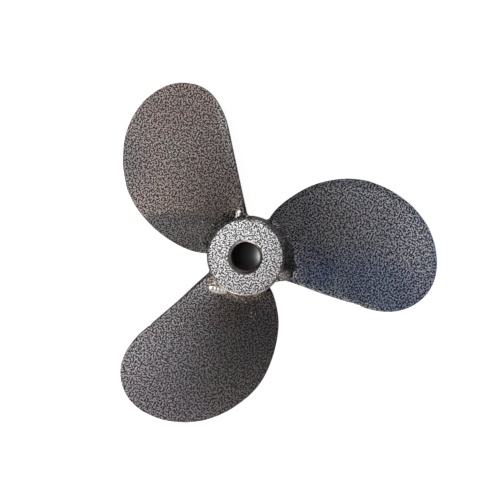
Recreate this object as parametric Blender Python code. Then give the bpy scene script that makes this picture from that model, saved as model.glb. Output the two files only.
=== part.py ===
# Three-bladed ship propeller: a bored steel hub, three pressed plate blades and the
# fillet welds that hold them. It lies flat on one end of the hub: the shaft axis is Z, and
# the front looks up (+Z). The origin is on the axis, at half the hub's length.

import math

import bmesh
import bpy

# Driving sizes, in metres and degrees
bladeCount = 3
hubLength = 0.058
hubRadius = 0.0325
hubRimRounding = 0.0022
boreRadius = 0.0125
boreChamfer = 0.0015
pitch = 0.178
plateThickness = 0.004
plateEdgeRounding = 0.0011
weldLeg = 0.006
weldHollow = 0.12
weldRimShare = 0.45
weldGrowth = 0.22
weldEndShare = 0.35
weldFade = 0.08
weldMargin = 2.0
seatGap = 0.0003

# Blade outline seen along the shaft, in metres, drawn with its straight edge parallel to +Y.
# Each knot has its place, its handle back and its handle on, both measured from the place.
# The outline starts on the straight edge, passes the tip and the round side, and ends at the hub.
outlineKnots = (
    ((0.009, 0.107), (0.0, 0.0), (0.0, 0.038)),
    ((-0.031, 0.156), (0.015, 0.0), (-0.022, 0.0)),
    ((-0.092, 0.080), (0.0, 0.055), (0.0, -0.030)),
    ((-0.0365, 0.007), (-0.026, 0.006), (0.0, 0.0)),
)
tipStart = 0.5
tipEnd = 0.3
firstBladeTurn = 11.1
helixMiddle = 122.5

# Facets
hubSides = 60
rimSteps = 3
columns = 16
rows = 14
rowCrowding = 1.2
curveSamples = 40
weldSteps = 22

# Colours as (red, green, blue, alpha)
hubColour = (0.42, 0.42, 0.43, 1.0)
bladeColour = (0.115, 0.108, 0.105, 1.0)
weldColour = (0.10, 0.092, 0.088, 1.0)


def clearScene():
    for item in list(bpy.data.objects):
        bpy.data.objects.remove(item, do_unlink=True)


def makeMaterial(name, colour, roughness, metallic):
    material = bpy.data.materials.new(name)
    material.use_nodes = True
    shader = material.node_tree.nodes["Principled BSDF"]
    shader.inputs["Base Color"].default_value = colour
    shader.inputs["Roughness"].default_value = roughness
    shader.inputs["Metallic"].default_value = metallic
    return material


def makeObject(name, mesh, material, turn=0.0):
    mesh.materials.clear()
    mesh.materials.append(material)
    item = bpy.data.objects.new(name, mesh)
    item.rotation_euler.z = math.radians(turn)
    bpy.context.scene.collection.objects.link(item)
    return item


def finishMesh(name, shape, sharpAngle):
    bmesh.ops.remove_doubles(shape, verts=shape.verts, dist=1e-6)
    bmesh.ops.recalc_face_normals(shape, faces=shape.faces)
    mesh = bpy.data.meshes.new(name)
    shape.to_mesh(mesh)
    shape.free()
    mesh.shade_smooth()
    mesh.set_sharp_from_angle(angle=math.radians(sharpAngle))
    return mesh


# Hub: a turned profile with a bore right through

def roundedCorner(towards):
    # Points from the barrel round to the end face; towards is +1 at the front, -1 at the rear
    centreRadius = hubRadius - hubRimRounding
    centreHeight = towards * (hubLength / 2 - hubRimRounding)
    points = []
    for step in range(rimSteps + 1):
        angle = math.pi / 2 * step / rimSteps
        points.append((
            centreRadius + hubRimRounding * math.cos(angle),
            centreHeight + towards * hubRimRounding * math.sin(angle),
        ))
    return points


def hubProfile():
    half = hubLength / 2
    bore = [
        (boreRadius + boreChamfer, -half),
        (boreRadius, -half + boreChamfer),
        (boreRadius, half - boreChamfer),
        (boreRadius + boreChamfer, half),
    ]
    return roundedCorner(1)[::-1] + roundedCorner(-1) + bore


def buildHub(material):
    shape = bmesh.new()
    corners = [shape.verts.new((radius, 0, height)) for radius, height in hubProfile()]
    edges = []
    for index, corner in enumerate(corners):
        edges.append(shape.edges.new((corner, corners[(index + 1) % len(corners)])))
    bmesh.ops.spin(
        shape, geom=corners + edges, cent=(0, 0, 0), axis=(0, 0, 1),
        angle=2 * math.pi, steps=hubSides, use_merge=True,
    )
    makeObject("hub", finishMesh("hub", shape, 35), material)


# Blade: a plate pressed to a helix of constant pitch

def bezierPoints(start, startHandle, endHandle, end, first, last):
    points = []
    for step in range(curveSamples + 1):
        t = first + (last - first) * step / curveSamples
        weights = ((1 - t) ** 3, 3 * (1 - t) ** 2 * t, 3 * (1 - t) * t ** 2, t ** 3)
        controls = (start, startHandle, endHandle, end)
        points.append(tuple(
            sum(weight * control[axis] for weight, control in zip(weights, controls))
            for axis in range(2)
        ))
    return points


def outlineStretch(number, first=0.0, last=1.0):
    # The curve from one knot to the next, or a part of it
    start, _, handleOn = outlineKnots[number]
    end, handleBack, _ = outlineKnots[number + 1]
    startHandle = (start[0] + handleOn[0], start[1] + handleOn[1])
    endHandle = (end[0] + handleBack[0], end[1] + handleBack[1])
    return bezierPoints(start, startHandle, endHandle, end, first, last)


def helixHeight(x, y):
    angle = math.atan2(y, x) - math.radians(helixMiddle)
    return -pitch * angle / (2 * math.pi)


def rootAngles():
    # Where the straight edge and the round side meet the hub
    straightX = outlineKnots[0][0][0]
    lastX, lastY = outlineKnots[-1][0]
    return math.acos(straightX / (hubRadius + seatGap)), math.atan2(lastY, lastX)


def rootCurve():
    # On the hub's surface, with the seat gap
    straight, flank = rootAngles()
    radius = hubRadius + seatGap
    points = []
    for step in range(curveSamples + 1):
        angle = straight + (flank - straight) * step / curveSamples
        points.append((radius * math.cos(angle), radius * math.sin(angle)))
    return points


def alongCurve(points, share):
    # The point at a share of the curve's length
    lengths = [math.dist(a, b) for a, b in zip(points, points[1:])]
    remaining = share * sum(lengths)
    for index, length in enumerate(lengths):
        if remaining <= length or index == len(lengths) - 1:
            blend = min(remaining / length, 1.0)
            a, b = points[index], points[index + 1]
            return (a[0] + (b[0] - a[0]) * blend, a[1] + (b[1] - a[1]) * blend)
        remaining -= length


def bladePoint(edges, outward, across):
    # A point of the sheet spanned between the four edges of the outline
    root, tip, straight, flank = edges
    low = alongCurve(root, across)
    high = alongCurve(tip, across)
    left = alongCurve(straight, outward)
    right = alongCurve(flank, outward)
    point = []
    for axis in range(2):
        between = (1 - outward) * low[axis] + outward * high[axis]
        between += (1 - across) * left[axis] + across * right[axis]
        between -= (1 - outward) * ((1 - across) * root[0][axis] + across * root[-1][axis])
        between -= outward * ((1 - across) * tip[0][axis] + across * tip[-1][axis])
        point.append(between)
    return point


def bladeMesh():
    root = rootCurve()
    straight = [root[0]] + outlineStretch(0, 0.0, tipStart)
    tip = outlineStretch(0, tipStart, 1.0) + outlineStretch(1, 0.0, tipEnd)[1:]
    flank = (outlineStretch(1, tipEnd, 1.0) + outlineStretch(2)[1:-1] + [root[-1]])[::-1]
    edges = (root, tip, straight, flank)
    shape = bmesh.new()
    bmesh.ops.create_grid(shape, x_segments=columns, y_segments=rows, size=0.5)
    for corner in shape.verts:
        across = corner.co.x + 0.5
        outward = (corner.co.y + 0.5) ** rowCrowding
        x, y = bladePoint(edges, outward, across)
        corner.co = (x, y, helixHeight(x, y))
    return finishMesh("blade", shape, 40)


def buildBlades(material):
    mesh = bladeMesh()
    for number in range(bladeCount):
        name = f"blade_{number + 1}"
        blade = makeObject(name, mesh, material, firstBladeTurn + 360 / bladeCount * number)
        plate = blade.modifiers.new("plate", "SOLIDIFY")
        plate.thickness = plateThickness
        plate.offset = 0
        plate.use_even_offset = True
        rounding = blade.modifiers.new("rounding", "BEVEL")
        rounding.width = plateEdgeRounding
        rounding.segments = 2
        rounding.limit_method = "ANGLE"
        rounding.angle_limit = math.radians(50)


# Welds: one fillet along the front and one along the back of each blade's root

def weldSection(leg):
    # Outwards along the blade and away from it along the hub, from the inner corner
    points = [(0, 0), (leg, 0)]
    for share in (0.25, 0.5, 0.75):
        sink = leg * weldHollow * 4 * share * (1 - share)
        points.append((leg * (1 - share) - sink, leg * share - sink))
    points.append((0, leg))
    return points


def weldPlace(angle, side, outward, away):
    # From the fillet's own corner to the hub and the blade's surface; side is +1 in front
    offset = side * (plateThickness / 2 + seatGap + away)
    radius = hubRadius + seatGap + outward
    slope = math.atan(pitch / (2 * math.pi * radius))
    turned = angle + offset * math.sin(slope) / radius
    height = -pitch * (angle - math.radians(helixMiddle)) / (2 * math.pi)
    return (radius * math.cos(turned), radius * math.sin(turned), height + offset * math.cos(slope))


def legAt(share):
    # Thin where the bead starts at the rim of the hub, and tapered where it ends
    grow = weldRimShare + (1 - weldRimShare) * min(share / weldGrowth, 1.0)
    fade = math.sqrt(min((1 - share) / weldFade, 1.0))
    return weldLeg * grow * (weldEndShare + (1 - weldEndShare) * fade)


def weldMesh(side):
    straight, flank = rootAngles()
    start = straight + math.radians(weldMargin)
    end = flank - math.radians(weldMargin)
    corners = len(weldSection(weldLeg))
    shape = bmesh.new()
    bmesh.ops.create_grid(shape, x_segments=weldSteps, y_segments=corners, size=0.5)
    for corner in shape.verts:
        share = corner.co.x + 0.5
        place = round((corner.co.y + 0.5) * corners) % corners
        fromRim = share if side > 0 else 1 - share
        outward, away = weldSection(legAt(fromRim))[place]
        corner.co = weldPlace(start + (end - start) * share, side, outward, away)
    bmesh.ops.remove_doubles(shape, verts=shape.verts, dist=1e-6)
    bmesh.ops.holes_fill(shape, edges=shape.edges, sides=corners)
    return finishMesh("weld", shape, 50)


def buildWelds(material):
    for side, word in ((1, "front"), (-1, "back")):
        mesh = weldMesh(side)
        for number in range(bladeCount):
            turn = firstBladeTurn + 360 / bladeCount * number
            makeObject(f"weld_{word}_{number + 1}", mesh, material, turn)


clearScene()
buildHub(makeMaterial("hub_paint", hubColour, 0.45, 0.6))
buildBlades(makeMaterial("blade_paint", bladeColour, 0.45, 0.6))
buildWelds(makeMaterial("weld_paint", weldColour, 0.5, 0.5))
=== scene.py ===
import math

import bmesh
import bpy
from mathutils import Matrix, Vector, noise


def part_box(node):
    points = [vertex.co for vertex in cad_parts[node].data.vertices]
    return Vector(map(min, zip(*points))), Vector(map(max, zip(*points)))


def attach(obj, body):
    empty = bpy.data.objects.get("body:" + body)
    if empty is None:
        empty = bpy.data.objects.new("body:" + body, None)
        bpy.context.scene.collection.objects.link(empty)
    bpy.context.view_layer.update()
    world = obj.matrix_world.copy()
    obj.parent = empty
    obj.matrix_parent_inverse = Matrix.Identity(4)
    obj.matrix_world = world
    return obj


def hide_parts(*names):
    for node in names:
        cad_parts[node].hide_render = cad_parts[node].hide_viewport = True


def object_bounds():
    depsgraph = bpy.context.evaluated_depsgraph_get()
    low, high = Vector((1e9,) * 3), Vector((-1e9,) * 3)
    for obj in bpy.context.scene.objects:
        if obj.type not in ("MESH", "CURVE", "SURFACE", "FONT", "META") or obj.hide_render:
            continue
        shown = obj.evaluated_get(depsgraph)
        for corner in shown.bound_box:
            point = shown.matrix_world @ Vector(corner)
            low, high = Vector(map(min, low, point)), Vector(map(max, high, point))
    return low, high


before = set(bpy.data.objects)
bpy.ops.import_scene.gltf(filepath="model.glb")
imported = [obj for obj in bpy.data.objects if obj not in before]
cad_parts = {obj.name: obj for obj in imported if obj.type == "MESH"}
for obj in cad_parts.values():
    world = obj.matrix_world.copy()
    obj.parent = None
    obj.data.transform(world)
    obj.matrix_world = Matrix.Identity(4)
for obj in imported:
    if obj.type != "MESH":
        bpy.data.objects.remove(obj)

# lengths are in metres; Z runs along the shaft to the front, X is right and Y is up as in the photo
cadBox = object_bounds()
hubLow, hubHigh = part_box("hub")
print("frame loaded, hub", round(hubHigh.z - hubLow.z, 4), "m long")


# small helpers

mergeDistance = 1e-6
seedSteps = (17.3, -9.1, 4.7)  # from one seed to the next, in the noise


def finishMesh(name, shape, crease, materials):  # crease: degrees past which an edge is shaded sharp
    bmesh.ops.remove_doubles(shape, verts=shape.verts, dist=mergeDistance)
    bmesh.ops.recalc_face_normals(shape, faces=shape.faces)
    mesh = bpy.data.meshes.new(name)
    shape.to_mesh(mesh)
    shape.free()
    for material in materials:
        mesh.materials.append(material)
    mesh.shade_smooth()
    mesh.set_sharp_from_angle(angle=math.radians(crease))
    piece = bpy.data.objects.new(name, mesh)
    bpy.context.scene.collection.objects.link(piece)
    return piece


def keepPiece(piece, slot, *cadNodes):
    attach(piece, "root")
    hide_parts(*cadNodes)


def ease(value):
    value = max(0.0, min(1.0, value))
    return value * value * (3 - 2 * value)


def easeBetween(value, low, high):
    return ease((value - low) / (high - low))


def wander(seed, x, y=0.0, z=0.0):  # smooth noise between about -1 and 1
    places = (place + seed * step for place, step in zip((x, y, z), seedSteps))
    return noise.noise(Vector(tuple(places)))


# node helpers

patternTurn = math.radians(27)  # keeps the faint straight rows of the noise off the edges' directions


class NodeTree:
    def __init__(self, name):
        self.material = bpy.data.materials.new(name)
        self.material.use_nodes = True
        self.tree = self.material.node_tree
        self.shader = self.tree.nodes["Principled BSDF"]
        coordinates = self.add("ShaderNodeTexCoord")
        self.straight = coordinates.outputs["Object"]
        self.facing = coordinates.outputs["Normal"]
        turned = self.add("ShaderNodeMapping")
        turned.inputs["Rotation"].default_value = (0, 0, patternTurn)
        self.tree.links.new(self.straight, turned.inputs["Vector"])
        self.place = turned.outputs["Vector"]

    def add(self, kind, **settings):
        node = self.tree.nodes.new(kind)
        for key, value in settings.items():
            setattr(node, key, value)
        return node

    def feed(self, socket, value):
        if isinstance(value, bpy.types.NodeSocket):
            self.tree.links.new(value, socket)
        else:
            socket.default_value = value

    def noise(self, scale, detail=0.0, roughness=0.5, distortion=0.0, flat=False):
        node = self.add("ShaderNodeTexNoise", noise_dimensions="2D" if flat else "3D")
        self.feed(node.inputs["Vector"], self.place)
        self.feed(node.inputs["Scale"], scale)
        self.feed(node.inputs["Detail"], detail)
        self.feed(node.inputs["Roughness"], roughness)
        self.feed(node.inputs["Distortion"], distortion)
        return node.outputs["Fac"]

    def math(self, operation, first, second=0.0, third=0.0):
        node = self.add("ShaderNodeMath", operation=operation)
        self.feed(node.inputs[0], first)
        self.feed(node.inputs[1], second)
        self.feed(node.inputs[2], third)
        return node.outputs[0]

    def ramp(self, value, low, high, start=0.0, end=1.0):
        node = self.add("ShaderNodeMapRange", interpolation_type="SMOOTHSTEP")
        for socket, item in zip(node.inputs, (value, low, high, start, end)):
            self.feed(socket, item)
        return node.outputs["Result"]

    def distance(self, x, y):  # from a line along the shaft
        flat = self.add("ShaderNodeVectorMath", operation="MULTIPLY")
        self.feed(flat.inputs[0], self.straight)
        self.feed(flat.inputs[1], (1, 1, 0))
        between = self.add("ShaderNodeVectorMath", operation="DISTANCE")
        self.feed(between.inputs[0], flat.outputs["Vector"])
        self.feed(between.inputs[1], (x, y, 0))
        return between.outputs["Value"]

    def part(self, vector, axis):
        node = self.add("ShaderNodeSeparateXYZ")
        self.feed(node.inputs[0], vector)
        return node.outputs[axis]

    def blend(self, share, first, second, kind="MIX"):  # colour sockets: inputs 6 and 7, output 2
        node = self.add("ShaderNodeMix", data_type="RGBA", blend_type=kind)
        self.feed(node.inputs["Factor"], share)
        self.feed(node.inputs[6], first)
        self.feed(node.inputs[7], second)
        return node.outputs[2]

    def mixed(self, share, first, second):  # the same for plain numbers
        node = self.add("ShaderNodeMix", data_type="FLOAT")
        for socket, item in zip(node.inputs[0:1] + node.inputs[2:4], (share, first, second)):
            self.feed(socket, item)
        return node.outputs[0]

    def bump(self, height, strength, distance, normal=None):
        node = self.add("ShaderNodeBump")
        self.feed(node.inputs["Height"], height)
        self.feed(node.inputs["Strength"], strength)
        self.feed(node.inputs["Distance"], distance)
        if normal:
            self.feed(node.inputs["Normal"], normal)
        return node.outputs["Normal"]


# silver-vein coating: black worm-like veins over silver

veinLook = {
    "silver": (0.66, 0.655, 0.65, 1.0),
    "black": (0.012, 0.011, 0.011, 1.0),
    "tint": (1.0, 1.0, 1.0),  # of the silver, all over
    "silverShare": 0.50,
    "silverRoughness": 0.40,
    "blackRoughness": 0.42,
    "blackShine": 0.5,  # the veins' specular level
    "metal": 0.96,
    "veinScale": 700.0,
    "veinEdge": 0.06,  # softness of a vein's edge
    "veinDepth": 0.00006,
    "veinRelief": 0.6,
    "flatScale": 0.0,  # of veins drawn as seen along the shaft, on the faces that look that way
    "flatLevel": (0.45, 0.60),  # how level a face is where those veins start, and where they are alone
    "grain": (3.0, 0.25),  # how many times finer than the veins, and how strong beside them
    "driftScale": 34.0,
    "driftStrength": 0.02,  # of the silver's share, from place to place
    "glintScale": 430.0,
    "glints": (0.84, 1.20),  # the silver's brightness from place to place
    "glintSpread": (0.25, 0.75),  # of the noise: all below is the dullest, and all above the brightest
    "mottleScale": 75.0,
    "mottle": ((0.965, 1.005, 0.985, 1.0), (1.03, 0.99, 0.985, 1.0)),  # from greenish to reddish
    "mottleSpread": (0.35, 0.65),
    "paintedLight": (),  # painted light, shade and reflection on the silver: place seen along the shaft, reach, soft edge, tint
    "patchWobble": 0.006,
    "wobbleScale": 110.0,
    "edgeShade": 0.0,  # painted shade on the plate's edge faces: how dark
    "edgeLevel": (0.45, 0.72),  # how level a face is where the painted shade starts to fade, and where it is gone
    "unshadedEdge": None,  # where the edge has no painted shade: place seen along the shaft, reach, soft edge
    "mouthShadeRing": None,  # painted shade in a ring round the bore's mouth: its middle, and where the shade is full and where it ends
    "mouthShadeShare": 0.85,
    "rimWearAndLight": None,  # on the hub: a worn pale band on the rim's rounding, with a painted highlight: where it starts and is full, measured from the axis
    "rimWearAndLightLevel": (0.15, 0.35),
    "rimWearAndLightBelow": (-0.02, 0.0, 1.0, 0.1),  # the painted highlight on the lower side: full below the first height, and only a tenth above the second
    "rimWearAndLightVeins": 0.9,  # how much of the veins the band covers too
    "rimWearAndLightColour": (0.93, 0.88, 0.82, 1.0),
    "paintedSpots": (),  # spots painted in a flat colour as painted highlights: place seen along the shaft, reach, soft edge, colour
    "spotShare": 0.9,
    "spotVeins": 0.2,  # how far the spots reach into the veins
}
# for each blade: the coat's tone, with painted light, shade and reflection
bladeTintsAndLight = (
    # the warm tone of this blade's silver and veins is a painted warm reflection
    {"tint": (1.08, 0.98, 0.985), "black": (0.021, 0.006, 0.008, 1.0), "edgeShade": 0.0, "paintedLight": (
        (-0.060, -0.060, 0.0945, 0.004, (0.55, 0.63, 0.68)),  # painted shade on the lower corner
        (0.563, 0.259, 0.6018, 0.004, (1.36, 1.44, 1.46)),  # a painted highlight along the straight edge
        (-0.0235, 0.0365, 0.013, 0.002, (0.86, 0.90, 0.88)),  # painted shade beside the bead
        (-0.036, 0.022, 0.012, 0.012, (0.83, 0.84, 0.84)),
        (-0.118, 0.075, 0.012, 0.036, (0.70, 0.77, 0.83)),  # painted shade on the round side
        (-0.055, 0.145, 0.025, 0.030, (0.90, 0.86, 0.84)),  # painted shade on the tip
        (0.0, 0.041, 0.0018, 0.002, (0.12, 0.12, 0.12)),  # a black spot of painted shadow at the struck lump
    )},
    {"tint": (1.06, 1.00, 1.09), "black": (0.018, 0.014, 0.015, 1.0), "edgeShade": 0.5,
     "unshadedEdge": (-0.058, -0.040, 0.011, 0.008), "paintedLight": (
        (0.014, -0.036, 0.004, 0.003, (1.50, 1.32, 1.16)),  # painted warm light at the end of the bead
        (-0.085, -0.045, 0.030, 0.055, (1.20, 1.27, 1.30)),  # painted light on the left half
        (0.022, -0.115, 0.030, 0.060, (0.70, 0.72, 0.68)),  # painted shade on the round side
        (-0.065, -0.118, 0.025, 0.020, (0.86, 0.87, 0.91)),  # painted shade on the tip
        (-0.018, -0.046, 0.008, 0.016, (0.97, 0.89, 0.83)),  # a painted warm reflection below the bead
        (-0.071, -0.0245, 0.0205, 0.003, (1.20, 1.18, 1.16)),  # a painted highlight along the straight edge
        (0.0165, -0.0435, 0.003, 0.010, (1.36, 1.28, 1.22)),  # painted light past the end of the bead
    )},
    # the blue of this blade's silver and veins is a painted blue reflection, and its silver is lightened as
    # painted light
    {"tint": (1.19, 1.20, 1.43), "black": (0.003, 0.004, 0.034, 1.0), "blackShine": 0.2,
     "unshadedEdge": (0.075, -0.036, 0.030, 0.008), "paintedLight": (
        (0.057, -0.007, 0.010, 0.014, (0.62, 0.66, 0.77)),  # painted shade beside the bead
        (0.031, 0.032, 0.010, 0.008, (1.50, 1.50, 1.48)),  # painted light where the round side meets the hub
        (0.043, -0.014, 0.009, 0.007, (0.68, 0.70, 0.67)),
        (0.0395, -0.010, 0.0032, 0.0012, (0.20, 0.20, 0.21)),  # the black wedge of painted shadow
        (0.048, 0.034, 0.026, 0.024, (1.02, 1.00, 0.88)),  # less of the painted blue reflection near the hub
        (0.100, -0.060, 0.048, 0.024, (0.74, 0.85, 0.96)),  # the painted blue reflection, deeper on the lower part
        (0.058, -0.034, 0.018, 0.014, (1.22, 1.26, 1.28)),
        (0.158, 0.012, 0.012, 0.036, (1.15, 1.20, 1.29)),  # painted light on the outer part
        (-0.092, -0.610, 0.6013, 0.003, (1.55, 1.48, 1.40)),  # a painted highlight along the straight edge
        (0.082, -0.024, 0.0845, -0.004, (0.68, 0.70, 0.68)),  # edge below 0: painted shade on the border outside this
        (0.105, 0.035, 0.020, 0.030, (0.91, 0.92, 0.87)),
        (0.257, 0.005, 0.100, 0.005, (0.70, 0.74, 0.80)),  # the painted shade on the border again, further down
    )},
)
# for each bead: the coat's tone, with painted light and shade
weldTintsAndLight = (
    {"silverShare": 0.42, "tint": (0.98, 1.00, 0.97)},
    {"silverShare": 0.44, "tint": (0.92, 0.83, 0.79), "black": (0.060, 0.047, 0.043, 1.0),
     "veinEdge": 0.11, "paintedSpots": (
        (-0.0285, -0.0268, 0.0014, 0.0018, (0.96, 0.93, 0.89)),  # a painted highlight along the bead from the struck end on
        (-0.0252, -0.0272, 0.0012, 0.0020, (0.95, 0.91, 0.86)),
        (-0.0220, -0.0276, 0.0012, 0.0022, (0.95, 0.90, 0.84)),
        (-0.0180, -0.0298, 0.0006, 0.0022, (0.88, 0.81, 0.74)),
    ), "paintedLight": (
        (0.0155, -0.0335, 0.006, 0.005, (2.20, 1.95, 1.65)),  # painted light on its other end
    )},
    {"silverShare": 0.42, "tint": (0.95, 0.95, 0.97), "paintedLight": (
        (0.0385, -0.0035, 0.0125, 0.004, (0.42, 0.41, 0.43)),  # painted shade along the bead, darkest in its middle
        (0.033, 0.015, 0.009, 0.005, (0.50, 0.50, 0.57)),
        (0.0285, 0.021, 0.003, 0.004, (0.62, 0.62, 0.66)),
        (0.0241, 0.0274, 0.002, 0.003, (0.72, 0.72, 0.72)),
        (0.030, -0.0165, 0.004, 0.003, (1.55, 1.48, 1.40)),  # painted light on its two ends
        (0.0196, 0.0317, 0.003, 0.003, (1.90, 1.88, 1.80)),
    ), "paintedSpots": (
        (0.0318, -0.0155, 0.0028, 0.0032, (0.98, 0.95, 0.93)),  # painted highlights on the pale start and on two crests
        (0.0336, -0.0185, 0.0014, 0.0030, (0.66, 0.62, 0.60)),
        (0.0352, 0.0072, 0.0002, 0.0014, (0.40, 0.39, 0.38)),
        (0.0338, -0.0048, 0.0002, 0.0014, (0.36, 0.35, 0.35)),
    )},
)


def tinted(colour, tint):
    return tuple(a * b for a, b in zip(colour, tint)) + (1.0,)


def veinPattern(paint, look, level):  # 1 on the silver and 0 on the veins
    worm = paint.noise(look["veinScale"])
    if look["flatScale"]:
        flatWorm = paint.noise(look["flatScale"], flat=True)
        worm = paint.mixed(paint.ramp(level, *look["flatLevel"]), worm, flatWorm)
    drift = paint.math("SUBTRACT", paint.noise(look["driftScale"], detail=2.0), 0.5)
    shifted = paint.math("MULTIPLY_ADD", drift, look["driftStrength"], worm)
    middle = 1.0 - look["silverShare"]
    return paint.ramp(shifted, middle - look["veinEdge"], middle + look["veinEdge"])


def silverColour(paint, look):  # with its painted light, shade and reflection, glints and mottle
    silver = tinted(look["silver"], look["tint"])
    if look["paintedLight"]:
        wobble = paint.math("SUBTRACT", paint.noise(look["wobbleScale"], detail=2.0), 0.5)
        wobble = paint.math("MULTIPLY", wobble, look["patchWobble"])
    # patches of painted light, shade and reflection
    for x, y, reach, edge, tint in look["paintedLight"]:
        distance = paint.math("ADD", paint.distance(x, y), wobble)
        share = paint.ramp(distance, reach, reach + edge, 1.0, 0.0)
        silver = paint.blend(share, silver, (*tint, 1.0), "MULTIPLY")
    glint = paint.noise(look["glintScale"], detail=1.0)
    glint = paint.ramp(glint, *look["glintSpread"], *look["glints"])
    silver = paint.blend(1.0, silver, glint, "MULTIPLY")
    hue = paint.ramp(paint.noise(look["mottleScale"], detail=2.0), *look["mottleSpread"])
    return paint.blend(1.0, silver, paint.blend(hue, *look["mottle"]), "MULTIPLY")


def shadedSilver(paint, look, level, silver):  # painted shade: dark on the plate's edge faces and in a ring round the bore's mouth
    if look["edgeShade"]:
        shadeShare = paint.ramp(level, *look["edgeLevel"], look["edgeShade"], 0.0)
        if look["unshadedEdge"]:
            x, y, reach, edge = look["unshadedEdge"]
            beyond = paint.ramp(paint.distance(x, y), reach, reach + edge)
            shadeShare = paint.math("MULTIPLY", shadeShare, beyond)
        silver = paint.blend(shadeShare, silver, look["black"])
    # the painted shade in a ring round the bore's mouth
    if look["mouthShadeRing"]:
        x, y, darkTo, full = look["mouthShadeRing"]
        shadeShare = paint.ramp(paint.distance(x, y), darkTo, full, look["mouthShadeShare"], 0.0)
        silver = paint.blend(shadeShare, silver, look["black"])
    return silver


# the hub rim's worn pale band, painted as a highlight that is full only on its lower side
def rimWearAndLightShare(paint, look, level):
    wornAndLit = paint.ramp(paint.distance(0, 0), *look["rimWearAndLight"])
    wornAndLit = paint.math("MULTIPLY", wornAndLit, paint.ramp(level, *look["rimWearAndLightLevel"]))
    height = paint.part(paint.straight, "Y")
    return paint.math("MULTIPLY", wornAndLit, paint.ramp(height, *look["rimWearAndLightBelow"]))


def veinPaint(name, changes):
    look = {**veinLook, **changes}
    paint = NodeTree(name)
    level = paint.math("ABSOLUTE", paint.part(paint.facing, "Z"))  # 1 on a face that looks along the shaft
    silverHere = veinPattern(paint, look, level)
    silver = shadedSilver(paint, look, level, silverColour(paint, look))
    # the rim's worn band, with its painted highlight
    if look["rimWearAndLight"]:
        wornAndLit = rimWearAndLightShare(paint, look, level)
        silver = paint.blend(wornAndLit, silver, look["rimWearAndLightColour"])
        silverHere = paint.math("MAXIMUM", silverHere, paint.math("MULTIPLY", wornAndLit, look["rimWearAndLightVeins"]))
    colour = paint.blend(silverHere, look["black"], silver)
    metal = paint.math("MULTIPLY", silverHere, look["metal"])
    # spots of painted highlight, in a flat colour without metal
    for x, y, reach, edge, spotColour in look["paintedSpots"]:
        share = paint.ramp(paint.distance(x, y), reach, reach + edge, look["spotShare"], 0.0)
        share = paint.math("MULTIPLY", share, paint.ramp(silverHere, 0.0, 1.0, look["spotVeins"], 1.0))
        colour = paint.blend(share, colour, (*spotColour, 1.0))
        metal = paint.math("MULTIPLY", metal, paint.math("SUBTRACT", 1.0, share))
    paint.feed(paint.shader.inputs["Base Color"], colour)
    paint.feed(paint.shader.inputs["Metallic"], metal)
    paint.shader.inputs["Specular IOR Level"].default_value = look["blackShine"]
    rough = paint.ramp(silverHere, 0.0, 1.0, look["blackRoughness"], look["silverRoughness"])
    paint.feed(paint.shader.inputs["Roughness"], rough)
    finer, strength = look["grain"]
    grain = paint.noise(look["veinScale"] * finer, detail=1.0)
    relief = paint.math("MULTIPLY_ADD", grain, strength, silverHere)
    paint.feed(paint.shader.inputs["Normal"], paint.bump(relief, look["veinRelief"], look["veinDepth"]))
    return paint.material


# the bore: dull overspray near its two mouths, darker further in (partly painted shade), a pale band of
# painted light low on the wall, and bare metal on the chamfers with painted light above and painted shade
# below

boreLook = {
    "speckleScale": 900.0,
    # the wall deep in: darker, partly as painted shade
    "deep": (0.16, 0.15, 0.16, 1),
    "mouth": ((0.20, 0.17, 0.175, 1), (0.58, 0.52, 0.52, 1)),  # the two colours of the speckle there
    "mouthSpread": (0.40, 0.62),  # of the speckle: all below is the first colour, and all above the second
    "mouthFrom": (0.0, 0.027),  # from the hub's middle: where the overspray starts, and where it is full
    "low": (1.0, 0.84, 0.92, 1),  # painted light: the pale band low on the wall
    "lowLightLean": -0.35,  # it lies a little to the right
    "lowLightBelow": (-0.0105, -0.0040),
    "lowLightFrom": (-0.006, 0.020),
    "bare": ((0.38, 0.375, 0.37, 1), (0.63, 0.615, 0.60, 1)),
    "bareSpread": (0.35, 0.6),
    "bareLevel": (0.3, 0.5),  # how level a face is where the chamfer starts, and where it is full
    "chamferLightLean": -0.6,
    "chamferLightAbove": (-0.008, 0.010, 0.17, 1.55),  # painted shade below the first height, painted light above the second
    "metal": (0.3, 0.75),  # of the wall and of the chamfers
    "wallRoughness": (0.62, 0.48),
    "roughSpread": (0.3, 0.7),
    "bareRoughness": 0.36,
    "relief": (0.4, 0.00005),
}


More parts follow.
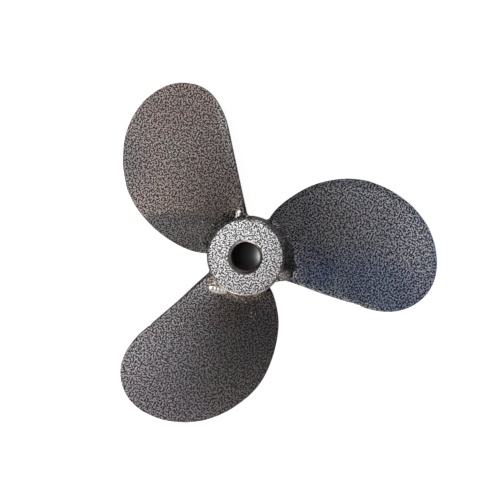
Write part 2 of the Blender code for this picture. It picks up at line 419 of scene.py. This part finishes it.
def borePaint():
    wall = NodeTree("borePaint")
    x, y, z = (wall.part(wall.straight, axis) for axis in "XYZ")
    fromMiddle = wall.math("ABSOLUTE", z)
    speckle = wall.noise(boreLook["speckleScale"], detail=1.0)
    mouth = wall.blend(wall.ramp(speckle, *boreLook["mouthSpread"]), *boreLook["mouth"])
    inside = wall.blend(wall.ramp(fromMiddle, *boreLook["mouthFrom"]), boreLook["deep"], mouth)
    # painted light: a pale band low on the wall
    low = wall.ramp(wall.math("MULTIPLY_ADD", x, boreLook["lowLightLean"], y), *boreLook["lowLightBelow"], 1.0, 0.0)
    pale = wall.blend(wall.ramp(fromMiddle, *boreLook["lowLightFrom"]), inside, boreLook["low"])
    inside = wall.blend(low, inside, pale)
    bare = wall.blend(wall.ramp(speckle, *boreLook["bareSpread"]), *boreLook["bare"])
    # painted light and shade on the chamfers: lighter above, darker below
    slant = wall.math("MULTIPLY_ADD", x, boreLook["chamferLightLean"], y)
    bare = wall.blend(1.0, bare, wall.ramp(slant, *boreLook["chamferLightAbove"]), "MULTIPLY")
    level = wall.math("ABSOLUTE", wall.part(wall.facing, "Z"))
    chamfer = wall.ramp(level, *boreLook["bareLevel"])
    rough = wall.ramp(speckle, *boreLook["roughSpread"], *boreLook["wallRoughness"])
    wall.feed(wall.shader.inputs["Base Color"], wall.blend(chamfer, inside, bare))
    wall.feed(wall.shader.inputs["Metallic"], wall.ramp(chamfer, 0.0, 1.0, *boreLook["metal"]))
    wall.feed(wall.shader.inputs["Roughness"], wall.mixed(chamfer, rough, boreLook["bareRoughness"]))
    wall.feed(wall.shader.inputs["Normal"], wall.bump(speckle, *boreLook["relief"]))
    return wall.material


hubPaint = veinPaint("hubPaint", {
    "veinScale": 793.1, "tint": (1.02, 1.04, 1.07), "glints": (0.88, 1.10),
    "rimWearAndLight": (0.0312, 0.0318), "mouthShadeRing": (-0.0006, -0.0003, 0.0143, 0.0150),
    "mottle": ((0.99, 1.0, 1.01, 1.0), (1.01, 1.0, 0.99, 1.0)),
    "paintedLight": ((0.012, 0.036, 0.0055, 0.005, (1.45, 1.42, 1.38)),),  # painted light on the side above the first bead
})
sheetLook = {"veinScale": 830.0, "flatScale": 800.0, "veinEdge": 0.08, "silverShare": 0.48, "edgeShade": 0.75}
bladePaints = []
weldPaints = []
for number, (sheetTintsAndLight, beadTintsAndLight) in enumerate(zip(bladeTintsAndLight, weldTintsAndLight)):
    bladePaints.append(veinPaint(f"bladePaint{number + 1}", {**sheetLook, **sheetTintsAndLight}))
    weldPaints.append(veinPaint(f"weldPaint{number + 1}", beadTintsAndLight))
# the lumps' silver is lightened well past the coat's, partly as a painted highlight
lumpPaint = veinPaint("lumpPaint", {
    "silverShare": 0.74, "tint": (1.50, 1.43, 1.36), "glints": (0.70, 1.06), "glintScale": 620.0,
    "veinEdge": 0.10, "black": (0.12, 0.11, 0.10, 1.0), "silverRoughness": 0.38,
    "mottle": ((1, 1, 1, 1), (1, 1, 1, 1)),
})
boreCoat = borePaint()
print("coatings made")


# the hub, turned

hub = {
    "radius": 0.0325,
    "rimRounding": 0.0022,
    "boreRadius": 0.0125,
    "boreChamfer": 0.0015,
    "rimSteps": 10,
    "boreSteps": 20,
    "sides": 192,
    "boreCoatShare": 0.9,  # of the chamfer's width that belongs to the bore
    "crease": 30,
}


def hubSurfaceAt(height):  # the hub's radius, with its rounded rims
    rim = hub["rimRounding"]
    above = abs(height) - (hubHigh.z - rim)
    if above <= 0:
        return hub["radius"]
    return hub["radius"] - rim + math.sqrt(max(0.0, rim * rim - above * above))


def hubCorner(towards):
    rim = hub["rimRounding"]
    points = []
    for step in range(hub["rimSteps"] + 1):
        angle = math.pi / 2 * step / hub["rimSteps"]
        across = hub["radius"] - rim + rim * math.cos(angle)
        points.append((across, towards * (hubHigh.z - rim * (1 - math.sin(angle)))))
    return points


def makeHub():
    chamfer = hub["boreChamfer"]
    depth = hubHigh.z - chamfer
    bore = [(hub["boreRadius"] + chamfer, hubLow.z)]
    for step in range(hub["boreSteps"] + 1):
        bore.append((hub["boreRadius"], depth * (2 * step / hub["boreSteps"] - 1)))
    bore.append((hub["boreRadius"] + chamfer, hubHigh.z))
    profile = hubCorner(1)[::-1] + hubCorner(-1) + bore
    shape = bmesh.new()
    corners = [shape.verts.new((radius, 0, height)) for radius, height in profile]
    edges = [shape.edges.new((a, b)) for a, b in zip(corners, corners[1:] + corners[:1])]
    bmesh.ops.spin(
        shape, geom=corners + edges, cent=(0, 0, 0), axis=(0, 0, 1),
        angle=2 * math.pi, steps=hub["sides"], use_merge=True,
    )
    coatEnd = hub["boreRadius"] + chamfer * hub["boreCoatShare"]
    for face in shape.faces:
        face.material_index = int(face.calc_center_median().xy.length < coatEnd)
    piece = finishMesh("hubBody", shape, hub["crease"], [hubPaint, boreCoat])
    keepPiece(piece, "hub_paint", "hub")


makeHub()
print("hub turned")


# the blades, pressed from plate

blade = {
    "pitch": 0.178,
    "thickness": 0.004,
    "edgeRounding": 0.0011,
    "edgeSteps": 3,
    "helixMiddle": math.radians(122.5),
    "firstTurn": math.radians(11.1),
    "knots": (  # place, handle back, handle on, along the outline from the straight edge to the hub
        ((0.009, 0.107), (0.0, 0.0), (0.0, 0.038)),
        ((-0.031, 0.156), (0.015, 0.0), (-0.022, 0.0)),
        ((-0.092, 0.080), (0.0, 0.055), (0.0, -0.030)),
        ((-0.0365, 0.007), (-0.026, 0.006), (0.0, 0.0)),
    ),
    "curveSamples": 60,
    "tipStart": 0.5,
    "tipEnd": 0.3,
    "columns": 96,
    "rows": 110,
    "sinkIntoHub": 0.0006,
    "dentDepth": 0.00012,  # of the unevenness all over
    "dentScale": 34.0,
    "dentSeed": 5,
    "edgeWobble": 0.00025,
    "wobbleScale": 90.0,
    "rimZone": 1 / 14,  # share of the blade over which the wobble of its edge fades
    "hubZone": 1 / 60,  # distance from the hub over which it starts
    "nickZone": 1 / 12,  # share of the blade's width that a dent of the straight edge reaches
    "asideRound": 0.014,  # the sideways set of a blade ends so much further out on its round side
    "crease": 40,
    "roundedFrom": math.radians(50),  # edges that turn more than this are rounded
}
bladeFits = (  # each blade was cut and set by hand: turn in degrees, and its share of the full reach
    # aside: how far the straight edge and the round side are off their places, along the turn,
    # and where that starts, is full, fades and ends, measured from the axis
    # nicks, or shallow dents of the straight edge: distance from the axis, width and depth
    {"turn": 0.58, "reach": 0.984, "aside": (0.0019, -0.0017),
     "asideFrom": (0.031, 0.037), "asideTo": (0.124, 0.150), "nicks": ()},
    {"turn": -0.74, "reach": 0.9995, "aside": (0.0008, 0.0014),
     "asideFrom": (0.044, 0.070), "asideTo": (0.124, 0.150), "nicks": ((0.1004, 0.0014, 0.0007),)},
    {"turn": 0.16, "reach": 0.9955, "aside": (0.0011, -0.0017),
     "asideFrom": (0.031, 0.035), "asideTo": (0.042, 0.074), "nicks": (
         (0.0975, 0.0040, 0.0008), (0.1030, 0.0016, 0.0009), (0.0905, 0.0012, 0.0005),
     )},
)


def helixHeight(angle):
    return -blade["pitch"] * (angle - blade["helixMiddle"]) / (2 * math.pi)


def bladeTurn(number):
    fit = bladeFits[number]
    return blade["firstTurn"] + number * 2 * math.pi / len(bladeFits) + math.radians(fit["turn"])


def edgeAngles(radius):  # where the straight edge and the flank are, at a radius near the hub
    lastX, lastY = blade["knots"][-1][0]
    return math.acos(blade["knots"][0][0][0] / radius), math.atan2(lastY, lastX)


def stretch(number, first=0.0, last=1.0):  # from one knot to the next, or a part of it
    start, _, on = blade["knots"][number]
    end, back, _ = blade["knots"][number + 1]
    start, end = Vector(start), Vector(end)
    controls = (start, start + Vector(on), end + Vector(back), end)
    samples = blade["curveSamples"]
    points = []
    for step in range(samples + 1):
        t = first + (last - first) * step / samples
        weights = ((1 - t) ** 3, 3 * (1 - t) ** 2 * t, 3 * (1 - t) * t ** 2, t ** 3)
        pulls = (control * weight for control, weight in zip(controls, weights))
        points.append(sum(pulls, Vector((0, 0))))
    return points


def rootCurve():
    straight, flank = edgeAngles(hub["radius"])
    radius = hub["radius"] - blade["sinkIntoHub"]
    samples = blade["curveSamples"]
    points = []
    for step in range(samples + 1):
        angle = straight + (flank - straight) * step / samples
        points.append(Vector((radius * math.cos(angle), radius * math.sin(angle))))
    return points


class Run:  # a line of points, read by the share of its length
    def __init__(self, points):
        self.points = points
        self.marks = [0.0]
        for a, b in zip(points, points[1:]):
            self.marks.append(self.marks[-1] + (b - a).length)

    def at(self, share):
        wanted = share * self.marks[-1]
        low, high = 0, len(self.marks) - 1
        while high - low > 1:
            middle = (low + high) // 2
            if self.marks[middle] <= wanted:
                low = middle
            else:
                high = middle
        span = max(self.marks[high] - self.marks[low], 1e-12)
        return self.points[low].lerp(self.points[high], (wanted - self.marks[low]) / span)


def bladeEdges():
    root = rootCurve()
    straight = [root[0]] + stretch(0, 0.0, blade["tipStart"])
    tip = stretch(0, blade["tipStart"], 1.0) + stretch(1, 0.0, blade["tipEnd"])[1:]
    flank = (stretch(1, blade["tipEnd"], 1.0) + stretch(2)[1:-1] + [root[-1]])[::-1]
    return Run(root), Run(tip), Run(straight), Run(flank)


def makeBlade(number):
    root, tip, straight, flank = bladeEdges()
    corners = (root.at(0), root.at(1), tip.at(0), tip.at(1))
    shape = bmesh.new()
    bmesh.ops.create_grid(shape, x_segments=blade["columns"], y_segments=blade["rows"], size=0.5)
    fit = bladeFits[number]
    for corner in shape.verts:
        across = corner.co.x + 0.5
        outward = corner.co.y + 0.5
        low, high = root.at(across), tip.at(across)
        left, right = straight.at(outward), flank.at(outward)
        flat = low.lerp(high, outward) + left.lerp(right, across)
        flat -= corners[0].lerp(corners[1], across).lerp(corners[2].lerp(corners[3], across), outward)
        radius = flat.length
        angle = math.atan2(flat.y, flat.x)
        nearEnough = 1 - easeBetween(radius - blade["asideRound"] * across, *fit["asideTo"])
        aside = fit["aside"][0] * (1 - across) + fit["aside"][1] * across
        angle += aside / radius * easeBetween(radius, *fit["asideFrom"]) * nearEnough
        height = helixHeight(angle)
        rim = min(across, 1 - across, 1 - outward)
        wobble = blade["edgeWobble"] * (1 - ease(rim / blade["rimZone"]))
        wobble *= wander(number, flat.x * blade["wobbleScale"], flat.y * blade["wobbleScale"])
        beyond = max(radius - hub["radius"], 0.0)
        radius += beyond * (fit["reach"] - 1) + wobble * ease(beyond / blade["hubZone"])
        for place, width, depth in fit["nicks"]:
            nick = depth * math.exp(-((radius - place) / width) ** 2)
            angle += nick / radius * (1 - ease(across / blade["nickZone"]))
        dent = wander(number + blade["dentSeed"], flat.x * blade["dentScale"], flat.y * blade["dentScale"])
        height += blade["dentDepth"] * dent
        corner.co = (radius * math.cos(angle), radius * math.sin(angle), height)
    matrix = Matrix.Rotation(bladeTurn(number), 3, "Z")
    bmesh.ops.rotate(shape, verts=shape.verts, cent=(0, 0, 0), matrix=matrix)
    piece = finishMesh(f"blade{number + 1}", shape, blade["crease"], [bladePaints[number]])
    plate = piece.modifiers.new("plate", "SOLIDIFY")
    plate.thickness = blade["thickness"]
    plate.offset = 0
    plate.use_even_offset = True
    rounding = piece.modifiers.new("rounding", "BEVEL")
    rounding.width = blade["edgeRounding"]
    rounding.segments = blade["edgeSteps"]
    rounding.limit_method = "ANGLE"
    rounding.angle_limit = blade["roundedFrom"]
    keepPiece(piece, "blade_paint", f"blade_{number + 1}")


for number in range(len(bladeFits)):
    makeBlade(number)
print("blades pressed")


# the weld beads, one run round each blade's root

weld = {
    "leg": 0.0064,
    "hubShare": 0.72,  # the leg on the hub, as a share of the leg on the blade
    "hollow": 0.09,
    "sink": 0.0008,
    "toeShare": 0.4,  # of the leg, where the hidden side of the bead has its middle row
    "rootLength": 0.072,
    "sideSteps": 150,
    "endSteps": 12,
    "faceSteps": 9,
    "rippleLength": 0.0026,
    "rippleHeight": 0.00028,
    "rippleTop": 0.35,  # where a ripple is highest, as a share of its length
    "rippleBow": 0.9,
    "rippleWander": 0.9,
    "rippleWanderScale": 60.0,
    "rippleSeed": 21,
    "unevenness": 0.16,
    "unevenScale": (80.0, 3.0),  # along the bead and round it
    "unevenSeed": 11,
    "frontClearance": 0.0005,
    "backRun": ((0.0, 0.30), (0.06, 0.8), (0.5, 1.0), (0.92, 0.8), (1.0, 0.35)),
    "lumpLength": 0.0021,
    "crease": 60,
}
weldRuns = (  # place along the root and size there, in front; lump: place along the root and height
    {"front": ((0.0, 0.3), (0.1, 0.7), (0.35, 1.4), (0.85, 1.3), (1.0, 0.3)), "lump": (0.10, 0.0008)},
    {"front": ((0.0, 0.95), (0.08, 1.3), (0.5, 1.35), (0.85, 1.2), (1.0, 0.3)), "lump": (0.06, 0.0006)},
    {"front": ((0.0, 1.6), (0.08, 1.6), (0.3, 1.35), (0.6, 1.0), (0.9, 0.9), (1.0, 0.25)),
     "lump": (0.30, 0.0009)},
)


def sizeAlong(run, along):
    for (start, low), (end, high) in zip(run, run[1:]):
        if along <= end:
            return low + (high - low) * ease((along - start) / (end - start))
    return run[-1][1]


def weldPath():  # share of the way from the straight edge to the flank, and the side's direction
    path = []
    for step in range(weld["sideSteps"]):
        path.append((step / weld["sideSteps"], math.pi / 2))
    for step in range(weld["endSteps"]):
        path.append((1.0, math.pi / 2 - math.pi * step / weld["endSteps"]))
    for step in range(weld["sideSteps"]):
        path.append((1 - step / weld["sideSteps"], -math.pi / 2))
    for step in range(weld["endSteps"]):
        path.append((0.0, -math.pi / 2 - math.pi * step / weld["endSteps"]))
    return path


def weldPoint(along, facing, away, outward):
    half = blade["thickness"] / 2
    guess = hub["radius"] + outward
    start, end = edgeAngles(guess)
    slope = math.atan(blade["pitch"] / (2 * math.pi * guess))
    inset = half * math.cos(slope) / guess
    angle = start + inset + (end - start - 2 * inset) * along
    reach = half + away
    aside = reach * (math.cos(facing) * math.cos(slope) + math.sin(facing) * math.sin(slope))
    lift = reach * (math.sin(facing) * math.cos(slope) - math.cos(facing) * math.sin(slope))
    limit = hubHigh.z - weld["frontClearance"]
    height = max(min(helixHeight(angle) + lift, limit), -limit)
    radius = hubSurfaceAt(height) + outward
    turned = angle + aside / guess
    return Vector((radius * math.cos(turned), radius * math.sin(turned), height))


def beadSize(number, along, share, run):  # with the chance unevenness of a bead laid by hand
    front = sizeAlong(weldRuns[number]["front"], along)
    back = sizeAlong(weld["backRun"], along)
    alongScale, roundScale = weld["unevenScale"]
    uneven = wander(number + weld["unevenSeed"], run * alongScale, share * roundScale)
    return (front * share + back * (1 - share)) * (1 + weld["unevenness"] * uneven)


def beadRipple(number, size, share, run, across):
    lag = weld["rippleWander"] * wander(number + weld["rippleSeed"], run * weld["rippleWanderScale"])
    phase = run / weld["rippleLength"] + lag - weld["rippleBow"] * (across - 0.5) ** 2
    crest = math.sin(math.pi * across) * min(size, 1.0)
    ripple = weld["rippleHeight"] * crest * (1 - 2 * abs(phase % 1 - weld["rippleTop"]))
    lumpPlace, lumpHeight = weldRuns[number]["lump"]
    offLump = (run - lumpPlace * weld["rootLength"]) / weld["lumpLength"]
    return ripple + lumpHeight * crest ** 2 * share * math.exp(-offLump * offLump)


def makeWeld(number):
    path = weldPath()
    faceRows = weld["faceSteps"]
    rows = faceRows + 3  # the face's rows, and three hidden ones
    shape = bmesh.new()
    bmesh.ops.create_grid(shape, x_segments=len(path), y_segments=rows, size=0.5)
    sink = weld["sink"]
    for corner in shape.verts:
        place = round((corner.co.x + 0.5) * len(path)) % len(path)
        row = round((corner.co.y + 0.5) * rows) % rows
        along, facing = path[place]
        share = (math.sin(facing) + 1) / 2  # 1 in front, 0 at the back
        run = along * weld["rootLength"]
        size = beadSize(number, along, share, run)
        plateLeg = weld["leg"] * size
        hubLeg = plateLeg * weld["hubShare"]
        if row == 0:
            away, outward = hubLeg, -sink
        elif row < faceRows:
            across = row / faceRows
            bow = weld["hollow"] * 4 * across * (1 - across)
            ripple = beadRipple(number, size, share, run, across)
            away = hubLeg * (1 - across - bow) + ripple
            outward = plateLeg * (across - bow) + ripple
        elif row == faceRows:
            away, outward = -sink, plateLeg
        elif row == faceRows + 1:
            away, outward = -sink, plateLeg * weld["toeShare"]
        else:
            away, outward = -sink, -sink
        corner.co = weldPoint(along, facing, away, outward)
    matrix = Matrix.Rotation(bladeTurn(number), 3, "Z")
    bmesh.ops.rotate(shape, verts=shape.verts, cent=(0, 0, 0), matrix=matrix)
    piece = finishMesh(f"weld{number + 1}", shape, weld["crease"], [weldPaints[number]])
    keepPiece(piece, "weld_paint", f"weld_front_{number + 1}", f"weld_back_{number + 1}")


for number in range(len(bladeFits)):
    makeWeld(number)
print("welds laid")


# drops of weld metal that stuck to the blades beside the beads, and the lumps where a bead was struck

spatter = {
    "drops": (  # for each blade: distance from the axis, degrees from the straight edge, size
        ((0.0440, 31, 0.0006), (0.0475, 52, 0.0005), (0.0430, 73, 0.0007), (0.0520, 64, 0.0004)),
        ((0.0410, 58, 0.0008), (0.0501, 62, 0.0008), (0.0520, 65, 0.0007), (0.0535, 61, 0.0006),
         (0.0545, 68, 0.0005), (0.0455, 44, 0.0005), (0.0485, 22, 0.0005)),
        ((0.0435, 24, 0.0006), (0.0480, 43, 0.0005), (0.0440, 61, 0.0007)),
    ),
    "lumps": (  # the same, and the rise above the middle of the plate
        ((0.0337, 16.3, 0.0018, 0.0055), (0.0357, 13.8, 0.0022, 0.0055), (0.0377, 10.8, 0.0018, 0.0051)),
        ((0.0398, 14.5, 0.0025, 0.0051), (0.0386, 18.0, 0.0030, 0.0060), (0.0375, 22.0, 0.0030, 0.0068),
         (0.0364, 26.5, 0.0027, 0.0075), (0.0354, 31.0, 0.0022, 0.0080)),
        (),
    ),
    "dropHeight": 0.75,  # as a share of its width
    "dropLift": 0.15,
    "lumpHeight": 0.16,
    "dropRoundness": 3,
    "lumpRoundness": 4,
    "crease": 60,
}


def bladePlace(distance, degrees, turn):  # in the middle of the plate, and the way its front faces
    angle = edgeAngles(distance)[0] + math.radians(degrees)
    height = helixHeight(angle)
    angle += turn
    rise = blade["pitch"] / (2 * math.pi * distance)
    across = Vector((-math.sin(angle), math.cos(angle), 0))
    place = Vector((distance * math.cos(angle), distance * math.sin(angle), height))
    return place, (across * rise + Vector((0, 0, 1))).normalized()


def flatBall(shape, roundness, size, height):
    ball = bmesh.ops.create_icosphere(shape, subdivisions=roundness, radius=size)["verts"]
    bmesh.ops.scale(shape, vec=(1.0, 1.0, height), verts=ball)
    return ball


def makeSpatter(number):
    turn = bladeTurn(number)
    shape = bmesh.new()
    for distance, degrees, size in spatter["drops"][number]:
        place, facing = bladePlace(distance, degrees, turn)
        drop = flatBall(shape, spatter["dropRoundness"], size, spatter["dropHeight"])
        tilt = facing.to_track_quat("Z", "Y").to_matrix()
        bmesh.ops.rotate(shape, verts=drop, cent=(0, 0, 0), matrix=tilt)
        lift = blade["thickness"] / 2 + size * spatter["dropLift"]
        bmesh.ops.translate(shape, verts=drop, vec=place + facing * lift)
    for distance, degrees, size, rise in spatter["lumps"][number]:
        place, _ = bladePlace(distance, degrees, turn)
        lump = flatBall(shape, spatter["lumpRoundness"], size, spatter["lumpHeight"])
        bmesh.ops.translate(shape, verts=lump, vec=place + Vector((0, 0, rise)))
    piece = finishMesh(f"spatter{number + 1}", shape, spatter["crease"], [lumpPaint])
    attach(piece, "root")


for number in range(len(bladeFits)):
    makeSpatter(number)
print("spatter dropped")


# floor, lights and camera

stage = {
    "floorRadius": 6.0,
    "floorSides": 96,
    "shadeRadius": 0.022,
    "floorColour": (0.4, 0.4, 0.4, 1.0),
    "floorRoughness": 0.8,
    "floorGlow": 0.95,  # as the camera sees it; it lights nothing
    # painted light and shade: through the bore the camera sees the floor under the hub dark at the left and
    # glowing light at the right
    "pitColour": (0.02, 0.02, 0.02, 1.0),
    "pitGlowColour": (1, 0.97, 0.965, 1),
    "pitStart": 0.014,
    "pitWidth": 0.0214,
    "pitTilt": 0.1,
    "pitPowers": (4.0, 12.0),  # of the wide and of the narrow part of the glow
    "pitGlows": (0.055, 0.50),
    "pitMost": 1.01,
    "pitMiddle": -0.0034,  # the glow fades above and below here, the wide part less
    "pitHeight": 0.0046,
    "pitLeast": 0.0028,
    "pitMouth": (-0.0033, -0.0035),  # the middle of the round that shows
    "pitRim": (0.0114, 0.0130, 1.0, 0.2),  # full up to the first distance from it, a fifth past the second
    "surroundings": (0.045, 0.0443, 0.0441, 1),
    "lampDistance": 1.7,
}


def paleFloor():
    pale = NodeTree("paleFloor")
    pale.feed(pale.shader.inputs["Base Color"], stage["floorColour"])
    pale.feed(pale.shader.inputs["Roughness"], stage["floorRoughness"])
    pale.feed(pale.shader.inputs["Emission Color"], (1, 1, 1, 1))
    seen = pale.add("ShaderNodeLightPath").outputs["Is Camera Ray"]
    pale.feed(pale.shader.inputs["Emission Strength"], pale.math("MULTIPLY", seen, stage["floorGlow"]))
    return pale.material


def shadedFloor():  # under the hub, with painted shade and a painted glow of light seen through the bore
    shade = NodeTree("shadedFloor")
    shade.feed(shade.shader.inputs["Base Color"], stage["pitColour"])
    shade.feed(shade.shader.inputs["Roughness"], stage["floorRoughness"])
    x, y = (shade.part(shade.straight, axis) for axis in "XY")
    across = shade.math("MULTIPLY_ADD", y, stage["pitTilt"], x)
    share = shade.math("DIVIDE", shade.math("ADD", across, stage["pitStart"]), stage["pitWidth"])
    share = shade.math("MINIMUM", shade.math("MAXIMUM", share, 0.0), stage["pitMost"])
    wide, narrow = (shade.math("POWER", share, power) for power in stage["pitPowers"])
    offMiddle = shade.math("DIVIDE", shade.math("SUBTRACT", y, stage["pitMiddle"]), stage["pitHeight"])
    fade = shade.math("DIVIDE", 1.0, shade.math("MULTIPLY_ADD", offMiddle, offMiddle, 1.0))
    wide = shade.math("MULTIPLY", wide, shade.math("SQRT", fade))
    narrow = shade.math("MULTIPLY", narrow, fade)
    wideGlow, narrowGlow = stage["pitGlows"]
    glow = shade.math("MULTIPLY_ADD", wide, wideGlow, stage["pitLeast"])
    glow = shade.math("MULTIPLY_ADD", narrow, narrowGlow, glow)
    rim = shade.ramp(shade.distance(*stage["pitMouth"]), *stage["pitRim"])
    glow = shade.math("MULTIPLY", glow, rim)
    seen = shade.add("ShaderNodeLightPath").outputs["Is Camera Ray"]
    shade.feed(shade.shader.inputs["Emission Color"], stage["pitGlowColour"])
    shade.feed(shade.shader.inputs["Emission Strength"], shade.math("MULTIPLY", seen, glow))
    return shade.material


def makeFloor():  # a round of shaded floor, with a wide ring of the pale one round it
    shape = bmesh.new()
    bmesh.ops.create_circle(shape, cap_ends=True, segments=stage["floorSides"], radius=stage["shadeRadius"])
    inner = list(shape.faces)
    rim = [edge for edge in shape.edges if edge.is_boundary]
    ring = bmesh.ops.extrude_edge_only(shape, edges=rim)["geom"]
    wide = stage["floorRadius"] / stage["shadeRadius"]
    outer = [item for item in ring if isinstance(item, bmesh.types.BMVert)]
    bmesh.ops.scale(shape, vec=(wide, wide, 1), verts=outer)
    for face in shape.faces:
        face.material_index = int(face in inner)
    bmesh.ops.translate(shape, vec=(0, 0, cadBox[0].z), verts=shape.verts)
    for face in shape.faces:
        if face.normal.z < 0:
            face.normal_flip()
    mesh = bpy.data.meshes.new("floor")
    shape.to_mesh(mesh)
    shape.free()
    mesh.materials.append(paleFloor())
    mesh.materials.append(shadedFloor())
    floor = bpy.data.objects.new("floor", mesh)
    bpy.context.scene.collection.objects.link(floor)


# lean from the shaft axis, azimuth from the photo's right and spread are in degrees
# light: how bright it falls on the object
lamps = (
    {"name": "key", "lean": 7, "azimuth": 160, "spread": 4, "light": 0.57, "colour": (1, 0.985, 0.98)},
    {"name": "far", "lean": 76, "azimuth": 68, "spread": 12, "light": 0.38, "colour": (1, 0.97, 0.92)},
    {"name": "left", "lean": 32, "azimuth": 225, "spread": 9, "light": 0.167, "colour": (1, 0.93, 0.88)},
    {"name": "below", "lean": 32, "azimuth": 270, "spread": 9, "light": 0.128, "colour": (1, 0.93, 0.88)},
    {"name": "lowSide", "lean": 72, "azimuth": 180, "spread": 12, "light": 0.15, "colour": (1, 0.93, 0.88)},
    {"name": "lowLeft", "lean": 72, "azimuth": 250, "spread": 12, "light": 0.147, "colour": (1, 0.93, 0.88)},
    {"name": "lowRight", "lean": 72, "azimuth": 290, "spread": 12, "light": 0.25, "colour": (1, 0.93, 0.88)},
    {"name": "skim", "lean": 82, "azimuth": 248, "spread": 14, "light": 0.95, "colour": (1, 0.90, 0.82)},
)


def makeLamps():
    distance = stage["lampDistance"]
    for lamp in lamps:
        light = bpy.data.lights.new(lamp["name"], "AREA")
        light.shape = "DISK"
        light.size = 2 * distance * math.tan(math.radians(lamp["spread"]))
        light.energy = lamp["light"] * math.pi * distance ** 2
        light.color = lamp["colour"]
        holder = bpy.data.objects.new(lamp["name"], light)
        azimuth, lean = math.radians(lamp["azimuth"]), math.radians(lamp["lean"])
        aside = math.sin(lean)
        towards = Vector((math.cos(azimuth) * aside, math.sin(azimuth) * aside, math.cos(lean)))
        holder.location = towards * distance
        holder.rotation_euler = towards.to_track_quat("Z", "Y").to_euler()
        bpy.context.scene.collection.objects.link(holder)


def makeWorld():
    world = bpy.data.worlds.new("studio")
    world.use_nodes = True
    bpy.context.scene.world = world
    tree = world.node_tree
    background = tree.nodes["Background"]
    background.inputs["Color"].default_value = stage["surroundings"]
    background.inputs["Strength"].default_value = 1.0
    seen = tree.nodes.new("ShaderNodeBackground")
    seen.inputs["Color"].default_value = (1, 1, 1, 1)
    path = tree.nodes.new("ShaderNodeLightPath")
    mix = tree.nodes.new("ShaderNodeMixShader")
    tree.links.new(path.outputs["Is Camera Ray"], mix.inputs["Fac"])
    tree.links.new(background.outputs["Background"], mix.inputs[1])
    tree.links.new(seen.outputs["Background"], mix.inputs[2])
    tree.links.new(mix.outputs["Shader"], tree.nodes["World Output"].inputs["Surface"])


camera = {
    "tiltUp": 3.2,  # degrees; the camera stands a little above the shaft axis and to its right
    "tiltRight": 3.2,
    "far": 1.2,
    "pixelSize": 0.0008505,  # metres a pixel at the middle of the hub
    "imagePixels": 500,
    "axisPixel": (247.6, 254.8),  # where the shaft axis crosses the hub's middle
    "sensor": 36.0,
    "seesTo": 50.0,
}


def makeCamera():
    tiltUp, tiltRight = math.radians(camera["tiltUp"]), math.radians(-camera["tiltRight"])
    lower, higher = math.sin(tiltUp), math.cos(tiltUp)
    right = Vector((math.cos(tiltRight), math.sin(tiltRight) * lower, math.sin(tiltRight) * higher))
    up = Vector((0, higher, -lower))
    back = right.cross(up)
    middle = camera["imagePixels"] / 2
    shiftX = (middle - camera["axisPixel"][0]) * camera["pixelSize"]
    shiftY = (camera["axisPixel"][1] - middle) * camera["pixelSize"]
    data = bpy.data.cameras.new("camera")
    data.sensor_width = camera["sensor"]
    data.lens = camera["sensor"] * camera["far"] / (camera["pixelSize"] * camera["imagePixels"])
    data.clip_end = camera["seesTo"]
    holder = bpy.data.objects.new("camera", data)
    holder.matrix_world = Matrix((
        (right.x, up.x, back.x, 0),
        (right.y, up.y, back.y, 0),
        (right.z, up.z, back.z, 0),
        (0, 0, 0, 1),
    ))
    holder.location = back * camera["far"] + right * shiftX + up * shiftY
    bpy.context.scene.collection.objects.link(holder)
    bpy.context.scene.camera = holder


makeFloor()
makeLamps()
makeWorld()
makeCamera()
bpy.context.scene.view_settings.view_transform = "Standard"
print("stage set")
